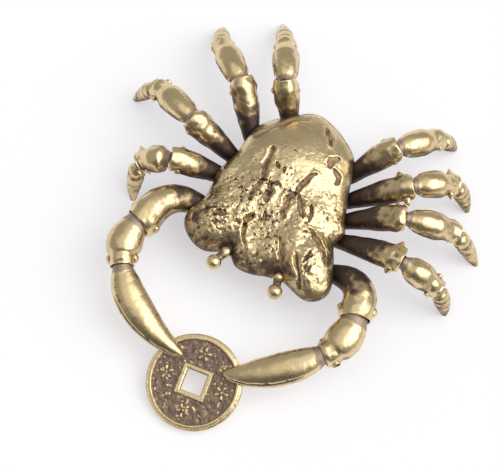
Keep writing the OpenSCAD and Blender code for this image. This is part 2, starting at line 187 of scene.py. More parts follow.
def around_list(values, angle):
    """Catmull-Rom value at angles in degrees of a list that runs once around."""
    v = np.array(values, float)
    n = len(v)
    x = angle / 360 * n
    i = np.floor(x).astype(int)
    f = x - i
    a, b, c, d = (v[(i + k) % n] for k in (-1, 0, 1, 2))
    return b + f / 2 * (c - a + f * (2 * a - 5 * b + 4 * c - d + f * (3 * (b - c) + d - a)))


class Path:
    """Curve of three points, measured along its length, straight on past both ends."""

    def __init__(self, points):
        self.p = [np.array(q, float) for q in points]
        self.table_t = np.linspace(0, 1, 400)
        dense = self.bezier(self.table_t)
        run = np.linalg.norm(np.diff(dense, axis=0), axis=1)
        self.table_s = np.concatenate([[0], np.cumsum(run)])
        self.length = self.table_s[-1]
        self.chord = np.linalg.norm(self.p[2] - self.p[0])

    def bezier(self, t):
        t = np.asarray(t)[:, None]
        a, b, c = self.p
        return a * (1 - t) ** 2 + b * 2 * t * (1 - t) + c * t * t

    def share(self, t):
        """Length from the start to the CAD's curve value t."""
        past = np.maximum(t - 1, 0) * self.chord
        return np.interp(np.minimum(t, 1), self.table_t, self.table_s) + past

    def frames(self, s):
        """Points, sideways and upward directions at lengths s."""
        s = np.asarray(s, float)
        inside = np.clip(s, 0, self.length)
        t = np.interp(inside, self.table_s, self.table_t)[:, None]
        a, b, c = self.p
        d = (b - a) * (1 - t) + (c - b) * t
        d = d / np.linalg.norm(d, axis=1)[:, None]
        where = self.bezier(t[:, 0]) + d * (s - inside)[:, None]
        flat = d[:, :2] / np.linalg.norm(d[:, :2], axis=1)[:, None]
        side = np.stack([flat[:, 1], -flat[:, 0], np.zeros(len(s))], axis=1)
        return where, side, np.cross(side, d)

    def direction(self):
        """Direction at the start."""
        return unit(self.p[1] - self.p[0])


class Skin:
    """Closed tube of rings. Each point has values for patina with painted shade, wear, raw casting and
    unevenness.
    """

    def __init__(self, count=AROUND):
        self.count = count
        self.rings = []
        self.values = {"dark": [], "worn": [], "raw": [], "lumps": []}

    def add(self, ring, **values):
        self.rings.append(ring)
        for name, store in self.values.items():
            store.append(np.broadcast_to(values.get(name, 0.0), (self.count,)).astype(float))

    def flat(self, name):
        return np.array(self.values[name]).ravel()

    def faces(self):
        n = self.count
        m = len(self.rings)
        k, i = np.meshgrid(np.arange(m - 1), np.arange(n), indexing="ij")
        j = (i + 1) % n
        quads = np.stack([k * n + i, (k + 1) * n + i, (k + 1) * n + j, k * n + j], axis=-1)
        caps = [list(range(n)), list(range((m - 1) * n, m * n))[::-1]]
        return quads.reshape(-1, 4).tolist() + caps

    def normals(self):
        grid = np.array(self.rings)
        along = np.gradient(grid, axis=0)
        over = np.roll(grid, -1, axis=1) - np.roll(grid, 1, axis=1)
        n = np.cross(along, over)
        length = np.linalg.norm(n, axis=2, keepdims=True)
        return n / np.maximum(length, 1e-9)


# ---- meshes

def body_of(node):
    return frame["nodes"][node]["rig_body"]


def add_values(mesh, name, values):
    attribute = mesh.attributes.new(name, "FLOAT", "POINT")
    attribute.data.foreach_set("value", np.asarray(values, np.float32).ravel())


def new_piece(name, node, points, faces, values, material):
    """Mesh piece from points in millimetres, which stands for the CAD node."""
    mesh = bpy.data.meshes.new(name)
    mesh.from_pydata(((points - CENTRE) * 0.001).tolist(), [], faces)
    for key, value in values.items():
        add_values(mesh, key, np.clip(value, 0, 1))
    mesh.polygons.foreach_set("use_smooth", [True] * len(mesh.polygons))
    mesh.materials.append(material)
    piece = bpy.data.objects.new(name, mesh)
    bpy.context.scene.collection.objects.link(piece)
    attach(piece, body_of(node))
    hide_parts(node)


def hammered(points, seed):
    """Hand-finished unevenness, in millimetres at full weight."""
    return sum(depth * noise(points, size, seed + k) for k, (depth, size) in enumerate(HAMMER_MARKS))


def finish_skin(skin, node, material, seed, floor=None, below=0.0):
    """Piece from a skin. below is how much painted shade, mixed with patina, darkens its undersides."""
    points = np.array(skin.rings).reshape(-1, 3)
    normals = skin.normals().reshape(-1, 3)
    points = points + normals * (hammered(points, seed) * skin.flat("lumps"))[:, None]
    if floor is not None:
        points[:, 2] = np.maximum(points[:, 2], floor)
    # Undersides are darkened by how far their normals turn down: painted shade, mixed with patina.
    patchy = 0.22 * noise(points, 1.7, seed + 5) + 0.12 * noise(points, 0.8, seed + 6)
    under = below * ease(0.76 + patchy - normals[:, 2], 0.0, 0.95) * (1 - skin.flat("worn"))
    values = {name: skin.flat(name) for name in ("dark", "worn", "raw")}
    values["dark"] = np.maximum(values["dark"], under)
    new_piece(node + "_cast", node, points, skin.faces(), values, material)


def circle(where, e1, e2, radius, angles):
    return where + radius * (np.cos(angles)[:, None] * e1 + np.sin(angles)[:, None] * e2)


def oval(path, s, w, h, angles, lift=0.0):
    """Cross-section of a limb. s, w and h are numbers, or hold one value for each angle."""
    p, side, up = path.frames(np.atleast_1d(s))
    return p + side * (w * np.cos(angles))[:, None] + up * (h * np.sin(angles) + lift)[:, None]


def add_cup(skin, path, where, next_dir, kind, widths, heights, from_s, lumps, crumple, seed, age):
    """Rings that run up to the slanted lip of a cup, over the lip, and down inside it."""
    angles = ring_angles(skin.count)
    lip = where + next_dir * kind.lip

    def at(s):
        return oval(path, s, widths(s), heights(s), angles)

    low, high = np.full(skin.count, from_s), np.full(skin.count, path.length + kind.lip + 1.1)
    for _ in range(40):
        mid = (low + high) / 2
        past = (at(mid) - lip) @ next_dir > 0
        low, high = np.where(past, low, mid), np.where(past, mid, high)
    end_s = (low + high) / 2
    steps = max(8, int((end_s.max() - from_s) / STEP))
    for k in range(1, steps):
        u = k / steps
        s = from_s + (end_s - 0.16 - from_s) * u
        ring = at(s)
        folds = crumple * 0.2 * noise(ring, 1.5, seed + 8) * ease(u, 0.1, 0.7)
        middle = ring.mean(axis=0)
        ring = middle + (ring - middle) * (1 + folds / kind.cup)[:, None]
        polished = bell(1 - u, 0.12)
        dark = np.maximum(0.7 * ease(-folds, 0.06, 0.3), age(ring, s / path.length) * (1 - polished))
        skin.add(ring, dark=dark, worn=0.8 * polished, lumps=lumps * (1 - 0.6 * u**6))
    rim = at(end_s)
    out = rim - lip
    sunk = np.minimum(out @ next_dir, 0)[:, None]
    e1 = aside(next_dir)
    e2 = np.cross(e1, next_dir)
    x, y = out @ e1, out @ e2
    turn = np.arctan2(y, x)
    radius = np.hypot(x, y)
    inner = kind.ball + BALL_GAP + LIP_PLAY
    radius = np.maximum(radius, inner + 0.28)
    wavy = 0.06 * noise(rim, 0.9, 5)[:, None] * next_dir
    for share, back, worn, dark in ((0.0, 0.16, 1, 0), (0.12, 0.03, 1, 0), (0.4, 0.0, 0.9, 0),
                                    (0.85, 0.04, 0.5, 0.3), (1.0, 0.2, 0, 0.8)):
        r = radius + (inner - radius) * share
        ring = circle(lip - next_dir * back, e1, e2, r[:, None], turn)
        skin.add(ring + wavy + sunk * next_dir, dark=dark, worn=worn)
    deep = inner - LIP_PLAY
    inside = [(0.5 * kind.lip, inner - LIP_PLAY / 2), (kind.lip, deep)]
    for tilt in (30, 55, 75, 86):
        a = math.radians(tilt)
        inside.append((kind.lip + deep * math.sin(a), deep * math.cos(a)))
    for depth, r in inside:
        skin.add(circle(lip - next_dir * depth, e1, e2, r, turn), dark=1)


def limb(node, path, rows, looks, seed, ball=None, raw_end=0.0, cup=None, next_dir=None, root=0.0,
         lumps=1.0, floor=None, shape=None, below=0.0, crumple=1.0, fade=1.1):
    """Cast limb piece along a path. rows are lengths along it with half widths and half heights.

    A piece with a ball starts with it and a neck that is rough up to raw_end; one with a cup ends in it.
    root is how dark its start is, up to the share fade, and below how much painted shade, mixed with
    patina, darkens its undersides.
    """
    skin = Skin()
    angles = ring_angles(skin.count)
    lengths = np.array([row[0] for row in rows], float)
    half_w = [row[1] for row in rows]
    half_h = [row[2] for row in rows]

    def profile(values):
        def f(s):
            body = through(np.clip(s, lengths[0], lengths[-1]), lengths, values)
            if ball is None:
                return body
            sphere = np.sqrt(np.maximum(ball.ball ** 2 - s**2, 1e-4))
            neck = np.maximum(ball.neck, np.where(s < ball.ball, sphere, 0))
            neck = np.where(s < 0, sphere, neck)
            return np.where(s < lengths[0], neck, body)
        return f

    def age(ring, share):
        clouds = 0.3 * noise(ring, 1.9, seed + 9) + 0.16 * noise(ring, 0.8, seed + 12)
        aged = root * (1 - ease(share + clouds, fade - 0.75, fade))
        return np.maximum(aged, (0.26 + 0.16 * root) * ease(clouds, -0.05, 0.28))

    widths, heights = profile(half_w), profile(half_h)
    first = -ball.ball + 0.01 if ball else lengths[0]
    last = path.length * 0.74 if cup else path.length
    stations = np.concatenate([[first + e for e in (0, 0.05, 0.15)] if ball else [first],
                               np.arange(first + 0.3, last, STEP), [last]])
    if root:
        inward = -level(path.p[1] - path.p[0])
        across = aside(inward)
        for back, r in ((3.2, 1.2), (2.2, 1.3), (0.9, 1.5)):
            skin.add(circle(path.p[0] + inward * back, -across, np.array([0, 0, 1.0]), r, angles), dark=1)
    for s in stations:
        w, h = widths(np.array([s]))[0], heights(np.array([s]))[0]
        lift = 0.22 * bell(s - 2.0, 0.8) if ball else 0.0
        ring = oval(path, s, w, h, angles, lift)
        ragged = 0.25 * noise(ring, 1.1, seed + 7)
        neck = 1 - ease(s + ragged, raw_end - 0.2, raw_end + 0.12) if ball else 0.0
        extra = 0.0
        if shape:
            ring, extra = shape(ring, s / path.length, angles, path.frames([s])[1])
        aged = age(ring, s / path.length)
        edge = bell(s + ragged - raw_end - 0.3, 0.22) * 0.5 if ball else 0.0
        deep = bell(s - (ball.lip - 0.3), 0.5) * 0.8 if ball else 0.0
        skin.add(ring, dark=np.maximum(np.maximum(aged, extra), deep), worn=edge, raw=neck,
                 lumps=lumps * (1 - neck * 0.5))
    if cup:
        add_cup(skin, path, path.p[2], next_dir, cup, widths, heights, last, lumps, crumple, seed, age)
    else:
        for beyond, size in ((0.12, 0.6), (0.16, 0.06)):
            skin.add(oval(path, last + beyond, half_w[-1] * size, half_h[-1] * size, angles))
    finish_skin(skin, node, looks["limb"], seed, floor, below)


# ---- curves of the limbs, as in the CAD

def mix(a, b, t):
    return tuple(a[k] + (b[k] - a[k]) * t for k in range(2))


def leg_paths(d):
    root, knee, ankle = point(d[0], ROOT_Z), point(d[1], KNEE_Z), point(d[2], ANKLE_Z)
    turn = [(d[2][k] - d[1][k]) * 0.5 + (d[3][k] - d[2][k]) * 0.5 for k in range(2)]
    out = level(turn)
    thigh = Path([root, point(mix(d[0], d[1], 0.5), KNEE_Z - 2.4), knee])
    shin = Path([knee, point(mix(d[1], d[2], 0.5), KNEE_Z - 0.5), ankle])
    tip = Path([ankle, ankle + out * 2.6 + np.array([0, 0, -1.4]), point(d[3], -0.4)])
    return thigh, shin, tip


def arm_paths(a):
    upper = Path([point(a[0], ROOT_Z + 0.3), point(a[1], ELBOW_Z + 1), point(a[2], ELBOW_Z)])
    wrist = Path([point(a[2], ELBOW_Z), point(a[3], ELBOW_Z), point(a[4], WRIST_Z)])
    claw = Path([point(a[4], WRIST_Z), point(a[5], WRIST_Z - 0.8), point(a[6], CLAW_END_Z)])
    return upper, wrist, claw


def cup_rows(path, kind):
    end, r = path.length, kind.cup
    return [(float(path.share(0.93)), r * 1.02, r * 0.98), (end + 0.3, r * 1.03, r),
            (end + kind.lip, r * 0.94, r * 0.91), (end + kind.lip + 1.2, r * 0.78, r * 0.73)]


def shares(path, rows):
    return [(float(path.share(t)), w, h) for t, w, h in rows]


def tip_rings(ring, share, *_):
    """Two shallow rings round a leg's last piece."""
    cut = bell(share - 0.4, 0.035) + 0.8 * bell(share - 0.6, 0.03)
    middle = ring.mean(axis=0)
    return middle + (ring - middle) * (1 - 0.09 * cut), 0.55 * cut


def build_leg(name, d, seed, looks):
    thigh, shin, tip = leg_paths(d)
    rows = shares(thigh, [(0, 1.6, 1.6), (0.2, 1.85, 1.85), (0.45, 2.2, 2.2), (0.72, 2.62, 2.5)])
    limb(name + "_thigh", thigh, rows + cup_rows(thigh, KNEE), looks, seed, cup=KNEE,
         next_dir=shin.direction(), root=1.0, below=0.95, crumple=CRUMPLED.get(name, 1.0))
    rows = [(2.35, 1.48, 1.4), (3.3, 2.15, 1.85)] + shares(shin, [(0.48, 2.65, 2.5), (0.7, 2.85, 2.65)])
    limb(name + "_shin", shin, rows + cup_rows(shin, ANKLE), looks, seed + 10, ball=KNEE, raw_end=2.9,
         cup=ANKLE, next_dir=tip.direction(), below=0.8)
    rows = [(2.15, 1.06, 1.02), (2.9, 1.86, 1.45)] + shares(
        tip, [(0.5, 1.85, 1.65), (0.75, 1.5, 1.35), (0.9, 1.0, 0.9), (1, 0.5, 0.5)])
    limb(name + "_tip", tip, rows, looks, seed + 20, ball=ANKLE, raw_end=2.2, lumps=0.7, floor=0.0,
         below=0.7, shape=tip_rings)
    build_pin(name + "_knee_pin", thigh.p[2], shin.direction(), KNEE, d[4], looks, seed + 3)
    build_pin(name + "_ankle_pin", shin.p[2], tip.direction(), ANKLE, d[5], looks, seed + 4)


PIN_AROUND = 28
# height over the cup and radius of a pin head, times the head's radius, from its foot to its top
PIN_HEADS = {
    "round": [(0, 1.02), (0.12, 1.05), (0.3, 0.97), (0.5, 0.8), (0.68, 0.5), (0.76, 0.2), (0.78, 0.02)],
    "spike": [(0, 1.45), (0.25, 1.35), (0.55, 1.05), (0.85, 0.72), (1.1, 0.48), (1.3, 0.28), (1.36, 0.02)],
    "flat": [(0, 1.0), (0.25, 1.12), (0.5, 1.12), (0.66, 0.95), (0.7, 0.7), (0.7, 0.3), (0.7, 0.02)],
    "dimple": [(0, 1.0), (0.3, 1.1), (0.5, 1.05), (0.6, 0.85), (0.55, 0.6), (0.3, 0.4), (0.22, 0.02)],
}


def build_pin(node, where, next_dir, kind, head, looks, seed):
    """Hinge pin with a worn, formed head on both sides."""
    side = aside(next_dir)
    e1 = unit(next_dir)
    e2 = np.cross(side, e1)
    reach = kind.cup - 0.15
    r = kind.head
    profile = PIN_HEADS[head]
    scale = 1.1 * r if head == "round" else 1.0
    skin = Skin(PIN_AROUND)
    angles = ring_angles(PIN_AROUND)
    rows = [(-(reach + h * scale), w * r) for h, w in profile[::-1]]
    rows += [(-reach + 0.02, kind.pin), (reach - 0.02, kind.pin)]
    rows += [(reach + h * scale, w * r) for h, w in profile]
    for x, w in rows:
        shaft = abs(x) < reach
        dimple = head == "dimple" and w < 0.62 * r and not shaft
        skin.add(circle(where + side * x, e1, e2, w, -angles), dark=0.9 if shaft or dimple else 0.25,
                 worn=0.0 if shaft else 0.25, lumps=1.2)
    finish_skin(skin, node, looks["pin"], seed, below=0.5)


def claw_slit(ring, share, angles, side):
    """Slit between the fingers, along both edges of the claw."""
    run = ease(share, 0.22, 0.4)
    cut = bell(np.sin(angles) - 0.3, 0.11) * run
    spots = ease(noise(ring, 0.7, 33), 0.25, 0.6) * bell(np.sin(angles) - 0.55, 0.3)
    mottle = 0.32 * ease(noise(ring, 1.4, 34), 0.0, 0.5) * (1 - ease(np.sin(angles), 0.55, 0.9))
    dent = 0.36 * cut + 0.1 * spots
    dark = np.maximum(np.maximum(cut, 0.7 * spots), mottle)
    return ring - side * (dent * np.cos(angles))[:, None], dark


def build_arm(name, a, seed, looks):
    upper, wrist, claw = arm_paths(a)
    rows = shares(upper, [(0, 1.9, 1.7), (0.2, 2.5, 2.2), (0.45, 2.95, 2.75), (0.72, 3.25, 3.15)])
    limb(name + "_upper_arm", upper, rows + cup_rows(upper, ELBOW), looks, seed, cup=ELBOW,
         next_dir=wrist.direction(), root=1.0, below=0.6, fade=0.72 if name == "right" else 0.98)
    rows = [(2.3, 2.62, 2.5), (3.6, 3.1, 2.8)] + shares(wrist, [(0.66, 3.65, 3.15), (0.84, 3.3, 2.95)])
    limb(name + "_wrist", wrist, rows + cup_rows(wrist, WRIST), looks, seed + 10, ball=ELBOW, raw_end=3.5,
         cup=WRIST, next_dir=claw.direction(), below=0.5)
    rows = [(2.0, 2.02, 1.98), (3.4, 2.55, 2.2)] + shares(
        claw, [(0.28, 3.2, 2.35), (0.45, 3.4, 2.4), (0.62, 3.1, 2.15), (0.78, 2.45, 1.8),
               (0.9, 1.7, 1.5), (0.97, 1.05, 1.15), (1, 0.6, 0.8)])
    limb(name + "_claw", claw, rows, looks, seed + 20, ball=WRIST, raw_end=3.1, lumps=0.6,
         shape=claw_slit, below=0.3)
    build_pin(name + "_elbow_pin", upper.p[2], wrist.direction(), ELBOW, "round", looks, seed + 3)
    build_pin(name + "_wrist_pin", wrist.p[2], claw.direction(), WRIST,
              "dimple" if name == "left" else "round", looks, seed + 4)


# ---- shells

# run and half width of each groove in plan
GROOVES = [
    ([(-7.6, 22.4), (-7.2, 20.4), (-7, 18.5), (-6.2, 16.6), (-6.1, 15.4)], 0.75),
    ([(-6.1, 15.4), (-6.8, 13.2), (-6.9, 11.8), (-6.5, 10.5)], 0.7),
    ([(-4.4, 15.4), (-3.6, 14), (-3.9, 12.6), (-3.4, 11.7)], 0.7),
    ([(2.6, 21), (1.9, 19.3), (1.0, 17.6), (0.9, 16)], 0.6),
    ([(0.9, 16), (0.1, 14.4), (0.5, 12.7), (0.2, 11.5), (1.2, 10.2)], 0.62),
    ([(1.8, 15.8), (2.9, 14.6), (3.4, 13.4), (4.5, 12.2)], 0.62),
    ([(5, 15.1), (5.8, 13.6), (6.1, 12)], 0.45),
    ([(-0.4, 32), (1.2, 30.6), (2.3, 28.9)], 0.5),
    ([(5, 27), (4.2, 25.6), (4.4, 24.4)], 0.7),
    ([(5.6, 24.2), (6.8, 23.4), (7.2, 21.8)], 0.6),
    ([(7.1, 10.6), (9, 9.4), (10.6, 8.4), (11.9, 7.3)], 0.6),
    ([(2.5, 6.2), (3.9, 4.2), (5.1, 2.1), (6.8, 1.0), (8.6, 0.3)], 0.7),
    ([(-4.4, 8.2), (-5.2, 6.9), (-5, 5.7)], 0.6),
    ([(-5, 5.7), (-4.4, 3.8), (-3.5, 2.4)], 0.5),
    ([(-2.6, 9.6), (-1.9, 8.2)], 0.4),
    ([(-5.2, 19.8), (-4.4, 18.9)], 0.35),
    ([(-3.4, 19.4), (-2.8, 18.3)], 0.35),
    ([(-11.2, 5.2), (-9.2, 5.6)], 0.55),
]
REAR_LIP = [(-12, 24), (-11, 25.6), (-9, 28), (-7, 30.6), (-4.5, 32)]
FOLD = [(6.3, 3.6), (7.4, 1.8), (8.6, 0.3), (9.6, -1.3)]
FOLD_SHADE = np.array([0.9, 0.5])
EYE_RECESSES = ((-6.3, 0.2), (5.4, 0.3))
RIGHT_LOBE = (-12.6, 4.4)
# fields of pits: seed, middle, radii, size of a pit, how full, stretch, lean, depth
PIT_FIELDS = [
    (81, (-9, 12), (7, 7), 0.55, 0.95, 1.0, 0.0, 0.2),
    (82, (-11, 5), (8, 6), 0.75, 1.05, 1.2, 0.5, 0.28),
    (83, (-1, 8), (7, 6), 0.55, 0.98, 1.0, 0.0, 0.2),
    (84, (9.5, 3.5), (3.4, 4.5), 0.85, 1.25, 2.2, 1.5, 0.4),
    (85, (7, 11), (5, 5), 0.6, 0.95, 1.5, 0.4, 0.22),
    (86, (10, 15), (2.5, 3), 0.6, 0.95, 1.4, 0.8, 0.22),
    (87, (-3, 15), (5, 4), 0.6, 1.0, 1.6, 1.1, 0.25),
    (88, (-1, 18), (16, 16), 0.5, 0.62, 1.0, 0.0, 0.12),
    (89, (-6, 9), (8, 8), 0.34, 0.86, 1.0, 0.0, 0.16),
    (90, (0, 5), (7, 6), 0.36, 0.84, 1.3, 1.3, 0.18),
    (91, (-12, 5), (5, 5), 0.34, 0.9, 1.0, 0.0, 0.16),
    (92, (1, 14), (6, 5), 0.34, 0.78, 1.0, 0.0, 0.14),
]
# outline of the folded tail under the belly, from the shell's middle
TAIL_FLAP = [(-5, 9), (5, 9), (4.6, 4), (2.6, -2), (1, -6), (-1, -6), (-2.6, -2), (-4.6, 4), (-5, 9)]
CARAPACE_AROUND = 640
UNDERBODY_AROUND = 360
UNDERBODY_RINGS = 90
UNDERBODY_SHARE = 0.95


def path_distance(q, path, with_share=False):
    """Distance to a path in plan, and the share of the path where it is nearest."""
    best, share = np.full(len(q), 99.0), np.zeros(len(q))
    for k, (a, b) in enumerate(zip(path[:-1], path[1:])):
        a, b = np.array(a, float), np.array(b, float)
        t = np.clip(((q - a) @ (b - a)) / ((b - a) @ (b - a)), 0, 1)
        near = np.linalg.norm(q - (a + t[:, None] * (b - a)), axis=1)
        share = np.where(near < best, (k + t) / (len(path) - 1), share)
        best = np.minimum(best, near)
    return (best, share) if with_share else best


def outline(angle):
    """Radius of the shell's outline at angles in degrees."""
    return around_list(SHELL_RADII, angle)


def shell_base(q, f):
    """The CAD's smooth shell without its grooves."""
    lobes = bell(away(q, -12.5, 3.5), 4.2) + bell(away(q, 11.5, 3), 4.6)
    rise = 4.4 + 1.5 * bell(away(q, -3.5, 24), 8) + 2.0 * lobes - 0.9 * bell(away(q, -2, 6), 4)
    return rise * np.sqrt(np.maximum(0, 1 - f**2.6))


def shell_relief(q, f):
    """Relief on top of the smooth shell: height, patina and wear for points in plan."""
    flat = with_height(q)
    inside = ease(1 - f, 0.0, 0.12)
    warp = np.column_stack([noise(flat, 1.5, 61), noise(flat, 1.5, 62)]) * 0.3
    warp += np.column_stack([noise(flat, 0.55, 63), noise(flat, 0.55, 64)]) * 0.16
    some = ease(noise(flat, 1.8, 65), -0.5, 0.5)
    height, dark, worn, raw = (np.zeros(len(q)) for _ in range(4))
    blot = 0.5 + 0.5 * noise(flat, 0.8, 66)
    for path, half in GROOVES:
        near, share = path_distance(q + warp, path, True)
        wide = half * (0.62 + 0.5 * np.sin(np.pi * share) ** 0.6) * (1 + 0.3 * noise(flat, 1.1, 67))
        cut = 1 - ease(near, wide * 0.25, wide * 1.2)
        lip = bell(near - wide * 1.5, half * 0.7) * some
        height += (-0.6 * cut + 0.16 * lip) * inside
        raw = np.maximum(raw, cut * (0.75 + 0.25 * blot))
        dark = np.maximum(dark, cut * (0.3 + 0.35 * blot))
        worn = np.maximum(worn, 0.45 * lip)
    near = path_distance(q + warp, REAR_LIP)
    height += -0.3 * bell(near, 0.5) * inside
    raw = np.maximum(raw, 0.8 * bell(near, 0.5))
    near = path_distance(q + warp * 0.5, FOLD)
    beside = path_distance(q - FOLD_SHADE, FOLD)
    height += (0.55 * bell(near, 0.55) - 0.55 * bell(beside, 0.5)) * inside
    dark = np.maximum(dark, 0.8 * bell(beside, 0.45))
    worn = np.maximum(worn, 0.6 * bell(near, 0.35))
    for x, y in EYE_RECESSES:
        near = away(q, x, y)
        height -= 1.1 * bell(near, 1.7)
        dark = np.maximum(dark, 0.95 * bell(near, 2.0))
    return height, dark, worn, raw


def pit_field(q, seed, middle, radius, size, amount, stretch, lean):
    """Ragged pits round a place in plan: 0 to 1, thinning out toward the radius."""
    u = (q[:, 0] * math.cos(lean) + q[:, 1] * math.sin(lean)) / stretch
    v = -q[:, 0] * math.sin(lean) + q[:, 1] * math.cos(lean)
    flat = with_height(np.column_stack([u, v]))
    field = noise(flat, size, seed) + 0.45 * noise(flat, size * 0.5, seed + 50)
    near = bell(np.linalg.norm((q - np.array(middle)) / np.array(radius), axis=1), 1.0)
    edge = 1.15 - amount * near
    return ease(field, edge, edge + 0.3)


def shell_detail(q, f):
    """The relief with the front's rough casting, creases and pits."""
    flat = with_height(q)
    height, dark, worn, raw = shell_relief(q, f)
    inside = ease(1 - f, 0.0, 0.1)
    front = 1 - ease(q[:, 1], 14, 24)
    fan = 0.12 * (q[:, 0] + 1) * (1 - (q[:, 1] - 12) / 20)
    folds = with_height(np.column_stack([q[:, 0] - fan * 2, q[:, 1] * 0.34]), 3.0)
    middle_n, small_n, grain_n = noise(flat, 1.5, 72), noise(flat, 0.7, 73), noise(flat, 0.38, 75)
    rough = 0.17 * noise(flat, 3.1, 71) + 0.15 * middle_n + 0.13 * small_n + 0.06 * grain_n
    creases = 0.36 * noise(folds, 2.1, 74) - 0.16 * np.abs(noise(folds, 1.1, 76))
    height += (rough * (0.2 + 0.8 * front) + creases * front) * inside
    low = -middle_n - small_n - 0.6 * grain_n
    dark = np.maximum(dark, 0.62 * ease(low, 0.35, 1.2) * front)
    edge = ease(f, 0.64, 0.96) * (1 - ease(q[:, 1], 2, 9)) * (1 - 0.7 * ease(q[:, 0], 5, 9))
    lobe = bell(away(q, *RIGHT_LOBE), 4.6)
    height += 0.16 * small_n * np.maximum(edge, lobe) * inside
    dark = np.maximum(dark, np.maximum(0.9 * edge, 0.6 * lobe) * ease(low, -0.85, 0.55))
    worn = np.maximum(worn, 0.8 * ease(middle_n + small_n + 0.8 * grain_n, 0.5, 1.1) * front)
    for seed, middle, radius, size, amount, stretch, lean, deep in PIT_FIELDS:
        pits = pit_field(q, seed, middle, radius, size, amount, stretch, lean)
        height -= deep * pits * inside
        dark = np.maximum(dark, 0.8 * pits)
    return height, dark, worn, raw


def polar_grid(count, shares_list):
    """Rings in plan at those shares of the outline's radius."""
    angle = np.arange(count) * 360 / count
    radius = outline(angle)
    unit_circle = np.column_stack([np.cos(np.radians(angle)), np.sin(np.radians(angle))])
    return [SHELL_MID + (radius * f)[:, None] * unit_circle for f in shares_list]


def build_carapace(looks):
    """Upper shell from its seam over the edge to the top."""
    count = CARAPACE_AROUND
    steps = np.concatenate([np.linspace(1, 0.94, 10), np.linspace(0.93, 0.02, 165)])
    skin = Skin(count)
    grid = polar_grid(count, [0.95, 0.985, 1.0])
    # The seam rings are darkened as painted shade under the shell's edge, mixed with patina.
    for q, z in zip(grid, (SEAM_Z, SEAM_Z, SEAM_Z + 0.35)):
        skin.add(with_height(q, z), dark=0.9)
    plan = np.array(polar_grid(count, steps)).reshape(-1, 2)
    f = np.repeat(steps, count)
    height, dark, worn, raw = shell_detail(plan, f)
    z = SEAM_Z + EDGE_H + shell_base(plan, f) + height
    z = np.maximum(z, SEAM_Z + 0.5 + 0.3 * (1 - f))
    # The band at the outline, where the shell turns down to the seam, is darkened as painted shade mixed
    # with patina.
    dark = np.maximum(dark, 0.6 * ease(f, 0.93, 1.0))
    for k in range(len(steps)):
        part = slice(k * count, (k + 1) * count)
        skin.add(np.column_stack([plan[part], z[part]]), dark=dark[part], worn=worn[part], raw=raw[part],
                 lumps=0.5)
    turn_over(skin)
    finish_skin(skin, "carapace", looks["shell"], 40, below=0.9)


def turn_over(skin):
    """Turns the rings' direction, so that the faces look outward."""
    skin.rings = [ring[::-1] for ring in skin.rings]
    skin.values = {name: [row[::-1] for row in rows] for name, rows in skin.values.items()}


def build_underbody(looks):
    """Lower shell from the belly's middle out to the seam. Rows are share of the outline and rise."""
    count = UNDERBODY_AROUND
    skin = Skin(count)
    rows = [(0.02, 0), (0.1, 0), (0.18, 0), (0.26, 0), (0.34, 0), (0.42, 0), (0.5, 0), (0.58, 0.02),
            (0.66, 0.06), (0.72, 0.14), (0.78, 0.3), (0.84, 0.62), (0.9, 1.2), (0.94, 1.8), (0.96, 2.4),
            (0.985, 2.9), (1, 3.3), (0.99, 3.8)]
    order = np.arange(len(rows))
    places = np.linspace(0, len(rows) - 1, UNDERBODY_RINGS)
    share, rise = (through(places, order, column) for column in zip(*rows))
    for q, up in zip(polar_grid(count, share * UNDERBODY_SHARE), rise):
        local = q - SHELL_MID
        edge = path_distance(local, TAIL_FLAP)
        cut = bell(edge, 0.35)
        wide = 5 - np.maximum(0, 4 - local[:, 1]) * 0.4
        inside = (ease(wide - np.abs(local[:, 0]), 0.2, 0.6) * ease(local[:, 1], -5.6, -5)
                  * ease(9 - local[:, 1], 0, 0.4))
        cross = bell((local[:, 1] - 6.4) % 2.5 - 1.25, 0.22) * inside
        z = BELLY_Z + up + (0.3 * cut + 0.25 * cross) * (1 - ease(up, 0.05, 0.4))
        # Every belly point starts at 0.35 dark as painted shade under the shell; the tail flap's lines add
        # patina.
        skin.add(np.column_stack([q, z]), dark=0.35 + 0.6 * np.maximum(cut, cross), lumps=0.9)
    finish_skin(skin, "underbody", looks["under"], 50)


EYE_AROUND = 48
EYE_AT = 6.8
EYE_R = 1.55


def build_eye(node, k, looks):
    """Ball on a stalk. k is -1 on the crab's right and 1 on its left. Rows are length, radius, patina."""
    seat = np.array([k * 5.2 - 0.3, 2.6, SEAM_Z + 0.5])
    d = unit(np.array([k * 1.6, -6.4, 1.9]))
    e1 = aside(d)
    e2 = np.cross(e1, d)
    skin = Skin(EYE_AROUND)
    angles = ring_angles(EYE_AROUND)
    rows = [(0.1, 0.95, 0.9), (1.5, 0.95, 0.9), (2.4, 0.98, 0.8), (2.9, 1.15, 0.4), (3.3, 1.2, 0.0),
            (3.8, 1.0, 0.3), (4.4, 0.86, 0.6), (5.0, 0.84, 0.6), (5.4, 0.86, 0.5)]
    lengths, radii, patina = zip(*rows)
    s = np.linspace(lengths[0], lengths[-1], 40)
    for x, r, dark in zip(s, through(s, lengths, radii), through(s, lengths, patina)):
        skin.add(circle(seat + d * x, e1, e2, r, angles), dark=dark, worn=0.2, lumps=0.8)
    for lat in np.linspace(-56, 88, 34):
        x = EYE_AT + EYE_R * math.sin(math.radians(lat))
        w = EYE_R * math.cos(math.radians(lat))
        skin.add(circle(seat + d * x, e1, e2, max(w, 0.85 if lat < 0 else 0.02), angles),
                 dark=0.3 * ease(-lat, 30, 56), worn=0.35, lumps=0.4)
    finish_skin(skin, node, looks["pin"], 60 + k, below=0.5)


# ---- coin

COIN_R = 9.6
COIN_T = 1.7
COIN_RIM = 1.1
COIN_SUNK = 0.3
HOLE = 4.3
FRAME = 6.3
COIN_AHEAD = 25.6
COIN_TILT = math.radians(16)
COIN_TURN = math.radians(5)
COIN_AROUND = 512
COIN_RINGS = 96
PETALS_OUT = 5.9


